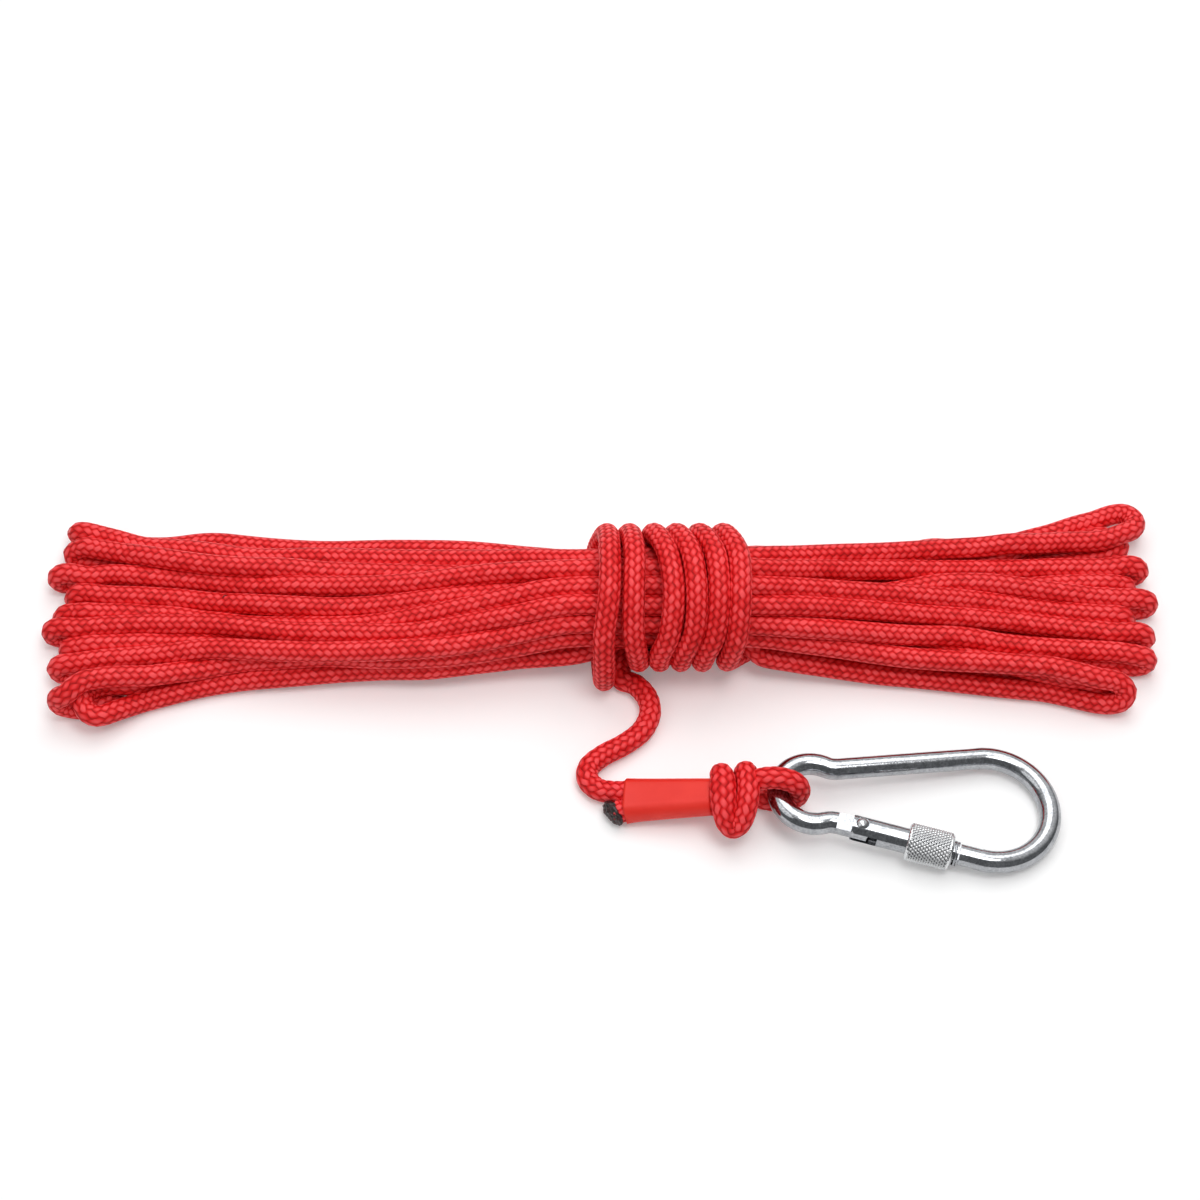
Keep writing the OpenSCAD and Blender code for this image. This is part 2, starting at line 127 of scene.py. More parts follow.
# The hank's folds, read off the photo. "slots" are the places in the waist that the upper and
# the lower strand run to; "over" and "under" are those strands from the fold to the waist, and
# "nose" is the tip, one point where the fold stands upright. "grip" is how firmly the lower
# strand keeps its place, high where the photo shows it. The rope's free end has no slot.
leftFolds = {
    "L0": {"slots": ("o1", "o12"), "grip": 0.8,
        "over": [(-192, 66, 11), (-184, 63.5, 11.5), (-172, 59.5, 11.5), (-153, 57, 12),
                 (-133, 54, 13), (-106, 51.5, 17), (-77, 47, 22), (-49, 42.5, 27), (-20, 37.5, 33)],
        "nose": [(-198, 68, 10.8), (-201.4, 69.4, 8), (-198.5, 69, 4.8)],
        "under": [(-190, 67.5, 4), (-180, 66, 4), (-170, 65, 4), (-162, 65.5, 4), (-154, 67, 4),
                  (-146, 67, 4.5), (-135, 65, 6), (-107, 60, 10), (-78, 56, 16), (-49, 51.5, 21),
                  (-21, 45, 25)]},
    "L1": {"slots": ("i0", "o0"),
        "over": [(-191, 58.5, 13.5), (-182, 55.5, 15), (-170, 51.5, 18), (-151, 47.5, 18.5),
                 (-132, 44.5, 19), (-103, 42.5, 20), (-75, 39.5, 23)],
        "nose": [(-196, 60, 12.8), (-199.5, 60.5, 10), (-202.5, 60, 6.5), (-199, 59, 4)],
        "under": [(-188, 58, 4), (-170, 57.5, 4), (-150, 59.5, 4), (-100, 49, 5), (-70, 46, 13),
                  (-30, 41, 24)]},
    "L3": {"slots": ("o2", "o10"),
        "over": [(-195, 46.5, 12), (-184, 47.5, 12), (-163, 46, 12), (-142, 42.5, 13.5),
                 (-101, 36.5, 19.5), (-73, 33.5, 25), (-45, 31, 32.5), (-25, 29, 38.5)],
        "nose": [(-206.5, 48, 8)],
        "under": [(-195, 48.5, 4), (-170, 49, 6), (-150, 50.5, 10.5), (-100, 38, 11), (-50, 35, 14)]},
    "L4": {"slots": ("i1", "o11"),
        "over": [(-188, 37.5, 12), (-162, 36, 12), (-141, 32.5, 13.5), (-101, 26, 19.5),
                 (-80, 24.5, 23.5), (-50, 25, 30)],
        "nose": [(-199, 38.5, 8)],
        "under": [(-188, 39, 4), (-150, 52, 4), (-100, 41.5, 4), (-50, 39, 10)]},
    "L5": {"slots": ("o3", "i5"),
        "over": [(-192, 30.5, 9), (-165, 29, 8), (-130, 24, 11), (-100, 20, 15), (-69, 17.5, 25),
                 (-38, 19.5, 34), (-18, 20.5, 39.5)],
        "nose": [(-203.5, 31.5, 6)],
        "under": [(-192, 31, 4), (-150, 45, 4), (-100, 31, 10.5), (-50, 31, 12)]},
    "L6": {"slots": ("o4", "i4"),
        "over": [(-195, 22.5, 12), (-182, 24, 12), (-154, 22, 12.5), (-126, 18.5, 14.5),
                 (-100, 15.5, 19), (-72, 12, 23.5), (-52, 11.5, 28), (-31, 11.5, 33),
                 (-14, 13, 37.5)],
        "nose": [(-206, 23, 8)],
        "under": [(-195, 22.5, 4), (-150, 38, 4), (-100, 34, 4), (-50, 29, 5)]},
    "L7": {"slots": ("c", "o9"),
        "over": [(-188, 15.5, 9.5), (-150, 17, 10.5), (-100, 15.5, 11), (-50, 20, 18)],
        "nose": [(-199.5, 15.5, 6.5)],
        "under": [(-188, 15.5, 4), (-150, 30.5, 4), (-100, 23, 10.5), (-50, 22, 11)]},
    "L8": {"slots": ("o5", "i3"),
        "over": [(-193, 7, 12), (-186, 8.5, 12), (-167, 10, 12.5), (-148, 10, 13.5),
                 (-130, 9.5, 15), (-100, 7.5, 17.5), (-72, 6.5, 20.5), (-52, 7, 24),
                 (-31, 8.5, 29.5), (-14, 9.5, 34)],
        "nose": [(-202, 6.5, 8)],
        "under": [(-191, 8, 4), (-150, 23, 4), (-100, 26.5, 4), (-50, 21, 4)]},
    "L9": {"slots": ("o6", "o8"),
        "over": [(-191, -5, 13), (-184, -2, 13), (-166, 0.5, 12.5), (-148, 6, 10.5), (-130, 10, 9),
                 (-111, 9, 11), (-73, 6, 14.5), (-52, 5.5, 18), (-31, 6.5, 23), (-11, 7.5, 28)],
        "nose": [(-199.6, -8.5, 8)],
        "under": [(-190, -9, 4), (-182, -7, 4), (-170, 6, 4), (-150, 16, 4), (-100, 19, 4),
                  (-50, 14, 5)]},
    "L10": {"slots": ("i2", "o7"), "grip": 1,
        "over": [(-175, 1, 4.5), (-150, 8.5, 4), (-100, 11.5, 4), (-50, 13, 10)],
        "nose": [(-186, -2, 7), (-190, -5, 9.5), (-191, -9, 10.5), (-189, -13.5, 10),
                 (-185, -15.5, 9.5)],
        "under": [(-180, -13, 8.5), (-174, -8.5, 6), (-167, -4, 4.2), (-149, 1, 4.5),
                  (-130, 4.5, 6), (-118, 5.5, 7.5), (-90, 7, 9), (-62, 7.5, 11.5), (-34, 8, 13),
                  (-7, 9, 15)]},
}
rightFolds = {
    "R0": {"slots": ("o0", "o1"), "grip": 0.8,
        "over": [(197, 78.5, 8), (193, 77, 7), (186, 74.5, 6), (178, 71, 5), (170, 68.5, 5),
                 (154, 64.5, 6), (138, 60.5, 9), (130, 58, 11), (106, 51, 19), (75, 43, 28)],
        "nose": [(203, 78, 9.5), (206, 73.5, 10.5), (204, 68.5, 11.5)],
        "under": [(198, 65.5, 12), (191, 63, 12.5), (176, 61.5, 13.5), (168, 60, 14.5),
                  (152, 57.5, 16), (129, 54, 19), (105, 48.5, 24), (74, 41, 32)]},
    "R1": {"slots": ("o12", None),
        "over": [(185, 70, 4), (170, 62, 4), (150, 56, 9), (110, 54, 8), (80, 47, 14)],
        "nose": [(195.5, 71, 4), (200.4, 66.5, 4), (196.5, 62, 4)],
        "under": [(180, 59, 4), (166, 57.5, 4), (152, 56.5, 4)]},
    "R2": {"slots": ("o2", "o11"),
        "over": [(194, 50, 12), (171, 49.5, 12.5), (132, 45, 18), (93, 38, 28), (70, 31.5, 37)],
        "nose": [(205.5, 51.5, 8)],
        "under": [(194, 52, 4), (150, 50.5, 4), (110, 44, 5), (80, 42, 12)]},
    "R3": {"slots": ("i0", "o10"),
        "over": [(189, 44, 9), (150, 41, 10), (110, 37, 15), (80, 34, 24)],
        "nose": [(200.8, 45, 6)],
        "under": [(189, 45, 4), (150, 43, 4), (110, 37, 4), (80, 36, 8)]},
    "R4": {"slots": ("i1", "i5"),
        "over": [(196, 35.5, 12), (185, 37, 12), (159, 39, 14), (132, 38, 17), (105, 32, 21),
                 (80, 27, 28)],
        "nose": [(207.4, 36, 8)],
        "under": [(196, 36, 4), (150, 35.5, 4), (110, 34, 11), (80, 33, 15)]},
    "R5": {"slots": ("o3", "c"),
        "over": [(187, 28.5, 12), (168, 30.5, 13), (147, 33, 16), (120, 31, 21), (93, 27, 29),
                 (70, 23, 37)],
        "nose": [(197.8, 29, 8)],
        "under": [(187, 28, 4), (150, 28, 4), (110, 27, 11), (80, 26, 16)]},
    "R6": {"slots": ("o4", "o9"),
        "over": [(193, 20, 12), (178, 22.5, 12), (147, 24, 15.5), (125, 23, 20), (93, 19, 29),
                 (70, 15.5, 36)],
        "nose": [(204.5, 20.5, 8)],
        "under": [(193, 20, 4), (150, 21, 4), (110, 29, 4), (80, 27, 4)]},
    "R7": {"slots": ("o5", "i4"),
        "over": [(193, 11, 12), (177, 12, 12), (146, 13, 15), (114, 12.5, 21), (93, 11, 26),
                 (70, 10, 30)],
        "nose": [(204, 10, 8)],
        "under": [(193, 10.5, 4), (150, 14, 4), (110, 20.5, 4), (80, 20, 10)]},
    "R8": {"slots": ("o6", "o7"), "grip": 1,
        "over": [(184, -0.6, 12), (167, 4, 12.5), (156, 5, 13), (145, 5, 14.5), (114, 5.5, 17),
                 (80, 8, 22)],
        "nose": [(191, -1.6, 11.5), (194.5, -4.5, 9), (192.5, -6.7, 6)],
        "under": [(185, -6.3, 4.5), (167, -1, 4), (156, 0.5, 4), (134, 4.5, 4), (104, 5.5, 6),
                  (74, 8.5, 10), (59, 9.5, 13)]},
    "R9": {"slots": ("i2", "i3"),
        "over": [(172, 1.5, 9.5), (156, 7, 8), (130, 12, 9), (100, 13, 12), (80, 14, 18)],
        "nose": [(179, 0.8, 9.5), (185, -0.4, 8), (189.5, 0.2, 5), (184, 0.2, 4)],
        "under": [(170, 5, 4), (150, 8.5, 4), (110, 13, 4), (80, 14, 8)]},
}


# Where the strand of a slot crosses the waist.
def waistPlace(slot):
    letter, number = slot[0], int(slot[1:] or 0)
    count, radius, first = next(r[1:] for r in rings if r[0] == letter)
    turn = math.radians(first + 360 * number / count)
    return waist["y"] + radius * math.cos(turn), waist["z"] + radius * math.sin(turn)


# An upright tip, from the upper strand to the lower: how far its points lie back, and how high,
# as a share of the tip's height above a rope on the floor.
uprightTip = ((5.5, 0.93), (1.6, 0.72), (0, 0), (1.6, -0.72), (5.5, -0.93))


def noseOf(fold, side):
    if len(fold["nose"]) > 1:
        return fold["nose"]
    x, y, z = fold["nose"][0]
    height = z - rope["d"] / 2
    return [(x - side * back, y, z + height * rise) for back, rise in uprightTip]


# How firmly upper strands, lower strands, tips and the waist are held.
firm = {"over": 0.8, "under": 0.12, "nose": 1, "waist": 3}


# The way of the whole hanked rope from its free end, fold after fold, and how firmly each
# point is held.
def hankRoute():
    ends = {}
    for side, folds in ((-1, leftFolds), (1, rightFolds)):
        for fold in folds.values():
            for way, slot in enumerate(fold["slots"]):
                if slot:
                    ends[side, slot] = (fold, way)
    route, hold = [], []
    side, fold, way = 1, rightFolds["R1"], 1
    while fold:
        runs = [(fold["over"], firm["over"]), (fold["under"], fold.get("grip", firm["under"]))]
        nose = noseOf(fold, side)
        inward, outward = (runs[0], runs[1]) if way == 0 else (runs[1], runs[0])
        if way == 1:
            nose = nose[::-1]
        for points, grip in ((inward[0][::-1], inward[1]), (nose, firm["nose"]), outward):
            route += points
            hold += [grip] * len(points)
        slot = fold["slots"][1 - way]
        y, z = waistPlace(slot)
        run = waist["x"] if side < 0 else waist["x"][::-1]
        route += [(x, y, z) for x in run]
        hold += [firm["waist"]] * len(run)
        side = -side
        fold, way = ends.get((side, slot), (None, 0))
    return np.array(route, float), np.array(hold, float)


# A smooth curve through the points (centripetal Catmull-Rom), with fine steps.
def curveThrough(points, steps=12):
    points = np.array(points, float)
    knots = np.vstack([2 * points[0] - points[1], points, 2 * points[-1] - points[-2]])
    times = np.concatenate([[0], np.cumsum(np.linalg.norm(np.diff(knots, axis=0), axis=1) ** 0.5)])
    made = []
    for i in range(1, len(knots) - 2):
        t = times[i - 1:i + 3]
        k = knots[i - 1:i + 3]
        for s in range(steps):
            at = t[1] + (t[2] - t[1]) * s / steps
            a = [k[n] + (k[n + 1] - k[n]) * (at - t[n]) / (t[n + 1] - t[n]) for n in range(3)]
            b = [a[n] + (a[n + 1] - a[n]) * (at - t[n]) / (t[n + 2] - t[n]) for n in range(2)]
            made.append(b[0] + (b[1] - b[0]) * (at - t[1]) / (t[2] - t[1]))
    made.append(points[-1])
    return np.array(made)


def lengthsAlong(line):
    return np.concatenate([[0], np.cumsum(np.linalg.norm(np.diff(line, axis=0), axis=1))])


def spaced(line, places):
    along = lengthsAlong(line)
    return np.stack([np.interp(places, along, line[:, k]) for k in range(line.shape[1])], 1)


def evenly(line, step):
    total = lengthsAlong(line)[-1]
    return spaced(line, np.linspace(0, total, int(round(total / step)) + 1))


# Pairs of points that lie near each other but not along the same stretch.
def nearPairs(points, reach, skip):
    square = (points ** 2).sum(1)
    gap = square[:, None] + square[None] - 2 * points @ points.T
    i, j = np.nonzero(gap < reach * reach)
    keep = j - i > skip
    return i[keep], j[keep]


# Settles the hanked rope: it sinks under its weight, keeps its bends, and no stretch of it
# enters another, the floor or the binding. What is in view is held where the photo shows it
# and slides along the line of sight instead.
def settle(route, hold):
    line = curveThrough(route)
    grip = np.interp(np.linspace(0, len(route) - 1, len(line)), np.arange(len(route)), hold)
    line = evenly(np.column_stack([line, grip]), rope["node"])
    start, grip = line[:, :3], np.clip(line[:, 3:], 0, rope["firmest"]) * rope["hold"]
    view = start - [c / mm for c in eye.location]
    view /= np.linalg.norm(view, axis=1)[:, None]
    points = start.copy()
    bend = start[1:-1] - (start[:-2] + start[2:]) / 2
    first, last = waist["x"][0] - waist["past"], waist["x"][-1] + waist["past"]
    bound = (start[:, 0] > first) & (start[:, 0] < last)
    limit = waist["r"] + waist["give"]
    for turn in range(rope["rounds"]):
        if turn % rope["renew"] == 0:
            i, j = nearPairs(points, rope["apart"] + rope["look"], rope["skip"])
        points[:, 2] -= rope["sink"]
        pull = (start - points) * grip
        points += pull - (pull * view).sum(1)[:, None] * view * rope["slide"]
        points[1:-1] += rope["stiff"] * ((points[:-2] + points[2:]) / 2 + bend - points[1:-1])
        for again in range(rope["passes"]):
            apart = points[i] - points[j]
            gap = np.linalg.norm(apart, axis=1) + 1e-9
            push = np.clip(rope["apart"] - gap, 0, None) * rope["push"]
            shove = apart / gap[:, None] * push[:, None]
            total, count = np.zeros_like(points), np.zeros(len(points))
            np.add.at(total, i, shove)
            np.add.at(total, j, -shove)
            np.add.at(count, i, push > 0)
            np.add.at(count, j, push > 0)
            points += total / np.maximum(1, count * rope["share"])[:, None]
            points[:, 2] = np.maximum(points[:, 2], rope["d"] / 2)
        out = points[:, 1:] - (waist["y"], waist["z"])
        far = np.linalg.norm(out, axis=1)
        tight = np.where(bound & (far > limit), limit / np.maximum(far, 1e-6), 1)
        points[:, 1:] = out * tight[:, None] + (waist["y"], waist["z"])
    return points


# The braid's relief: two sets of strands cross, and each strand runs over two and under two, so
# that what shows are rows of long pillows that lean left and right by turns. "strands" is how
# many lie round the rope, "pitch" the way from one pillow to the next along it, "round" a
# pillow's fall across its strand, "tuck" its fall towards its two ends and "level" the height
# that lies on the rope's own radius. "fibres" are the stripes in a strand.
braid = {"strands": 20, "pitch": 3.15, "raise": 0.35, "round": 2.3, "tuck": 0.88, "level": 0.6,
         "fibres": 5}


def relief(u, v):
    p, q = (v + u) / 2, (v - u) / 2
    i, j = np.floor(p + 0.5), np.floor(q + 0.5)
    a, b = p - i, q - j
    k = np.mod(i - j, 4)
    other = k > 1.5
    along = np.where(other, a + k - 2.5, b + 0.5 - k)
    across = np.where(other, b, a)
    height = np.sqrt(1 - braid["round"] * across ** 2) * (1 - braid["tuck"] * along ** 2)
    return braid["raise"] * (height - braid["level"])


# A surface through closed rings of points, with its two ends capped.
def loft(name, rings):
    count, sides = rings.shape[:2]
    row = np.arange(count - 1)[:, None] * sides
    after = row + sides
    j = np.arange(sides)[None]
    k = (j + 1) % sides
    faces = np.stack([row + j, row + k, after + k, after + j], -1).reshape(-1, 4).tolist()
    faces += [list(range(sides))[::-1], list(range((count - 1) * sides, count * sides))]
    mesh = bpy.data.meshes.new(name)
    mesh.from_pydata((rings.reshape(-1, 3) * mm).tolist(), [], faces)
    mesh.polygons.foreach_set("use_smooth", [True] * len(mesh.polygons))
    return show(name, mesh)


def show(name, mesh):
    piece = bpy.data.objects.new(name, mesh)
    scene.collection.objects.link(piece)
    return piece


# How finely each cord is made: its curve's steps, its rings' spacing and the sides of a ring.
hankGrid = {"curve": 4, "step": 1.7, "sides": 16}
leadGrid = {"curve": 16, "step": 0.42, "sides": 32}
# The knot presses the rope wide where its last turn lies on top.
swell = {"at": (44, -53, 17), "reach": 6, "by": 0.22}
seamAim = (0.3, 0.2, 1)  # any way but the one in which a cord starts


# A tube along a route, with a UV map in the braid's steps, round it and along it.
def tubeMesh(name, route, grid, raised=False):
    centres, sides = evenly(curveThrough(route, grid["curve"]), grid["step"]), grid["sides"]
    along = lengthsAlong(centres)
    ahead = np.gradient(centres, axis=0)
    ahead /= np.linalg.norm(ahead, axis=1)[:, None]
    side = np.zeros_like(ahead)
    start = np.cross(ahead[0], seamAim)
    side[0] = start / np.linalg.norm(start)
    for k in range(1, len(ahead)):
        turned = side[k - 1] - ahead[k] * side[k - 1].dot(ahead[k])
        side[k] = turned / np.linalg.norm(turned)
    up = np.cross(ahead, side)
    turn = np.linspace(0, 2 * math.pi, sides + 1)
    ring = np.cos(turn)[None, :, None] * side[:, None] + np.sin(turn)[None, :, None] * up[:, None]
    u, v = np.meshgrid(turn / (2 * math.pi) * braid["strands"], along * 2 / braid["pitch"])
    near = ((centres - swell["at"]) ** 2).sum(1) / swell["reach"] ** 2
    r = rope["d"] / 2 * (1 + swell["by"] * np.exp(-near))[:, None] + (relief(u, v) if raised else 0 * u)
    piece = loft(name, (centres[:, None] + ring * r[..., None])[:, :-1])
    uv = piece.data.uv_layers.new(name="braid")
    faceU = np.stack([u[:-1, :-1], u[:-1, 1:], u[1:, 1:], u[1:, :-1]], -1).reshape(-1)
    faceV = np.stack([v[:-1, :-1], v[:-1, 1:], v[1:, 1:], v[1:, :-1]], -1).reshape(-1)
    loops = np.zeros((len(piece.data.loops), 2), np.float32)
    loops[:len(faceU), 0], loops[:len(faceU), 1] = faceU, faceV
    uv.data.foreach_set("uv", loops.reshape(-1))
    return piece, centres


route, hold = hankRoute()
settled = settle(route, hold)
print("hank settled")
# The binding, from the hank's last strand to the front of the bundle: place along the hank,
# turn round it in degrees, distance from its axis.
turnRadius = 23.5
firstTurn = [(54, 247.5, 15.3), (60, 251, 16.2), (64.5, 256, 19.5), (61, 256, 22.7),
             (54, 246, turnRadius), (48.5, 228, turnRadius), (46.8, 205, turnRadius),
             (48, 187, turnRadius), (50, 160, turnRadius), (51, 122, turnRadius),
             (50.4, 83, turnRadius), (45.1, 36, turnRadius), (43, -30, turnRadius),
             (40.6, -90, turnRadius)]
# The turns after it: angles that come back in each, and how far along the hank each is there.
turnAngles = (-144, -173, -200, -238, -277, -324, -390, -450)
turnPlaces = [
    (37.8, 38.8, 42, 43.4, 42, 36.4, 34.8, 32.6),
    (29.9, 30.6, 34.1, 35.1, 33.3, 27.9, 26.6, 24.6),
    (22.2, 22.3, 25.4, 26.8, 24.7, 19.6, 18.5, 16.5),
    (14.5, 13.6, 12.2, 12.3, 12.6, 11)]
lastTurn = [(8.5, -1440, turnRadius), (6, -1470, turnRadius), (2.5, -1500, turnRadius),
            (0, -1530, turnRadius), (0.4, -1552, 25.5), (1.4, -1574, 31), (1.6, -1593, 29),
            (1.5, -1613, 26.8), (1.5, -1640, 25.6), (3.4, -1678, 24.6), (3.6, -1717, 24),
            (2.6, -1764, turnRadius)]


def bindingRoute():
    turns = [(x, angle - 360 * number, turnRadius) for number, places in enumerate(turnPlaces)
             for x, angle in zip(places, turnAngles)]
    return [(x, waist["y"] + r * math.cos(math.radians(a)), waist["z"] + r * math.sin(math.radians(a)))
            for x, a, r in firstTurn + turns + lastTurn]


# From the last turn down behind the bundle, under it, and along the floor to the sleeve.
# From (8, 4.5, 4) on its points are those of the part's source.
tailRoute = [
    (-0.5, 48.8, 27.5), (-1, 51.5, 15), (2.5, 51, 5.2), (7.5, 44, 4), (8.6, 34, 4), (8.4, 24, 4),
    (8.2, 14, 4), (8, 4.5, 4), (13, 2, 4), (17.5, -4, 4), (18.5, -11, 4), (15.5, -18.5, 4),
    (9, -24.5, 4), (1, -29.5, 4), (-4, -34.5, 4), (-4.5, -39.5, 4), (-1, -43.8, 4), (4, -45.4, 4.5)]
# The sleeve's two ends, half the distance between the ropes in it at its start and its end, and
# the shares of its run where their routes have points.
sleeve = {"start": (9.9, -49.5, 5.15), "end": (40.5, -51.9, 11.5), "half": 3.7, "close": 2.5,
          "stations": (0, 0.5, 0.85, 1)}
# Through the knot, round the wire, back under it and over the knot in a V, to the sleeve.
knotRoute = [
    (44, -48.6, 12.2), (49, -47.8, 12.8), (54.5, -48.4, 16.2), (59, -49.3, 19.9), (63.9, -49.8, 20.8),
    (69.3, -50.1, 18.3), (71.6, -50, 12.4), (69.3, -49.6, 6.5), (63.9, -48.8, 4.1), (58.5, -47.6, 4),
    (55, -45.5, 4), (52.6, -43.2, 6.4), (52.1, -42.6, 11.4), (52.4, -44.8, 16.8), (53, -49, 18.8),
    (52.9, -55, 18.4), (51.8, -60, 15.6), (50, -63, 12), (47.6, -64, 10.4), (45.4, -63, 12),
    (44.2, -60, 15.2), (43.9, -55, 17.6), (43.9, -49, 17.8), (43.6, -45.4, 16.2), (43.6, -43.6, 11.4),
    (44.4, -43.4, 6.4), (46.4, -46, 4), (46.4, -51.5, 4), (45.2, -54.4, 5.8), (43.6, -55, 9.2)]
endRoute = [(8, -53.8, 4.7), (5.7, -53.6, 4.3)]


def leadRoute():
    start, end = np.array(sleeve["start"]), np.array(sleeve["end"])
    there, home = [], []
    for t in sleeve["stations"]:
        middle = start + (end - start) * t
        aside = np.array((0, sleeve["half"] + (sleeve["close"] - sleeve["half"]) * t, 0))
        there.append(middle + aside)
        home.insert(0, middle - aside)
    return bindingRoute() + tailRoute + there + knotRoute + home + endRoute


hank, hankPath = tubeMesh("rope_hank_cord", settled, hankGrid)
lead, leadPath = tubeMesh("rope_lead_cord", leadRoute(), leadGrid, raised=True)
for piece, path, joint in ((hank, hankPath, hankPath[-1]), (lead, leadPath, leadPath[0])):
    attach(piece, "rope")
    tuple(joint * mm)
    [tuple(p) for p in path * mm]
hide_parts("rope_hank")
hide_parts("rope_binding", "rope_tail", "rope_end", "rope_knot", "rope_eye")
print("rope made")


# Sockets with arithmetic, and one method for any node.
class Signal:
    def __init__(self, tree, socket):
        self.tree, self.socket = tree, socket

    def math(self, kind, *others):
        node = self.tree.nodes.new("ShaderNodeMath")
        node.operation = kind
        for slot, value in zip(node.inputs, (self, *others)):
            feed(self.tree, slot, value)
        return Signal(self.tree, node.outputs[0])

    def __add__(self, other):
        return self.math("ADD", other)

    def __sub__(self, other):
        return self.math("SUBTRACT", other)

    def __rsub__(self, other):
        return (self - other) * -1

    def __mul__(self, other):
        return self.math("MULTIPLY", other)


def feed(tree, slot, value):
    if isinstance(value, Signal):
        tree.links.new(value.socket, slot)
    else:
        slot.default_value = value


class Finish:
    def __init__(self, owner, shader="Principled BSDF"):
        owner.use_nodes = True
        self.owner, self.tree = owner, owner.node_tree
        self.shader = self.tree.nodes[shader]

    def node(self, kind, inputs=(), out=0, stops=(), **settings):
        made = self.tree.nodes.new("ShaderNode" + kind)
        for key, value in settings.items():
            setattr(made, key, value)
        for number, (place, colour) in enumerate(stops):
            points = made.color_ramp.elements
            point = points[number] if number < 2 else points.new(place)
            point.position, point.color = place, plain(colour)
        for key, value in dict(inputs).items():
            feed(self.tree, made.inputs[key], value)
        return Signal(self.tree, made.outputs[out])

    def ramp(self, signal, stops):
        return self.node("ValToRGB", {0: signal}, stops=stops)

    def mix(self, factor, first, second):
        return self.node("Mix", {0: factor, 6: first, 7: second}, out=2, data_type="RGBA")

    def set(self, **values):
        for key, value in values.items():
            feed(self.tree, self.shader.inputs[key.replace("_", " ")], value)
        return self


def plain(colour):
    return (*colour, 1)


def finishNamed(name):
    return Finish(bpy.data.materials.new(name))


# The rope's looks: its colours from the strands' edges to their backs, which paint shade into the
# grooves and a pink painted highlight onto the crowns, what chance, fibres and worn patches add to that
# tone, how deep its bump is and how rough and bright it is.
ropePaint = {
    "tones": [(0.0, (0.36, 0.0007, 0.001)), (0.3, (0.55, 0.004, 0.005)),
              (0.65, (0.80, 0.013, 0.015)), (1.0, (0.98, 0.085, 0.092))],
    "chance": 0.34, "fibres": 0.08, "wear": 0.45, "patches": 45.0, "bump": 0.00022,
    "bumpFibres": 0.035, "bumpChance": 0.1, "rough": 0.4, "edges": 0.4, "roughChance": 0.14,
    "specular": 0.22}


# The braid's pillows again, as colour, gloss and fine fibres; the colour follows their height, with
# painted shade in the grooves and a painted highlight on the crowns.
def ropeFinish():
    finish = finishNamed("rope")
    uv = finish.node("UVMap", uv_map="braid")
    u = finish.node("SeparateXYZ", {"Vector": uv})
    v = finish.node("SeparateXYZ", {"Vector": uv}, out=1)
    p, q = (v + u) * 0.5, (v - u) * 0.5
    i, j = (p + 0.5).math("FLOOR"), (q + 0.5).math("FLOOR")
    a, b = p - i, q - j
    k = (i - j + 4096).math("MODULO", 4)  # kept above zero, where the node counts from
    other = k.math("GREATER_THAN", 1.5)
    along = (b - k + 0.5) * (1 - other) + (a + k - 2.5) * other
    across = a * (1 - other) + b * other
    ridge = (1 - across * across * braid["round"]).math("MAXIMUM", 0).math("SQRT")
    height = ridge * (1 - along * along * braid["tuck"])
    seed = finish.node("CombineXYZ", {"X": i - k * other, "Y": j + k * (1 - other), "Z": other})
    chance = finish.node("TexWhiteNoise", {"Vector": seed}, noise_dimensions="3D")
    fibres = (across * (math.tau * braid["fibres"]) + along * 2 + chance * 6).math("SINE")
    place = finish.node("TexCoord", out=3)
    wear = finish.node("TexNoise", {"Vector": place, "Scale": ropePaint["patches"], "Detail": 4.0})
    tone = height + (chance - 0.5) * ropePaint["chance"] + fibres * ropePaint["fibres"]
    # Painted shade and highlight: the colour darkens where the pillows fall into the grooves and turns
    # pale pink on their crowns.
    body = finish.ramp(tone + (wear - 0.5) * ropePaint["wear"], ropePaint["tones"])
    shape = height + fibres * ropePaint["bumpFibres"] + (chance - 0.5) * ropePaint["bumpChance"]
    lift = finish.node("Bump", {"Strength": 1.0, "Distance": ropePaint["bump"], "Height": shape})
    rough = (1 - height) * ropePaint["edges"] + (chance - 0.5) * ropePaint["roughChance"]
    return finish.set(Base_Color=body, Roughness=rough + ropePaint["rough"], Normal=lift,
                      Specular_IOR_Level=ropePaint["specular"]).owner


ropeLook = ropeFinish()
for piece in (hank, lead):
    piece.data.materials.append(ropeLook)
print("rope finished")


# Bright zinc plate: a worn mirror, mottled by clouds and fine pits. Each has its size and what
# it adds to the mottle and to the roughness. An attribute may say where the colour is darkened
# towards a near-black tone as painted shade in grooves.
plate = {"clouds": (260.0, 1.2, 0.08), "pits": (1300.0, 1.6, 0.1), "bump": 0.00005,
         "groove_shade_tone": (0.05, 0.05, 0.055)}


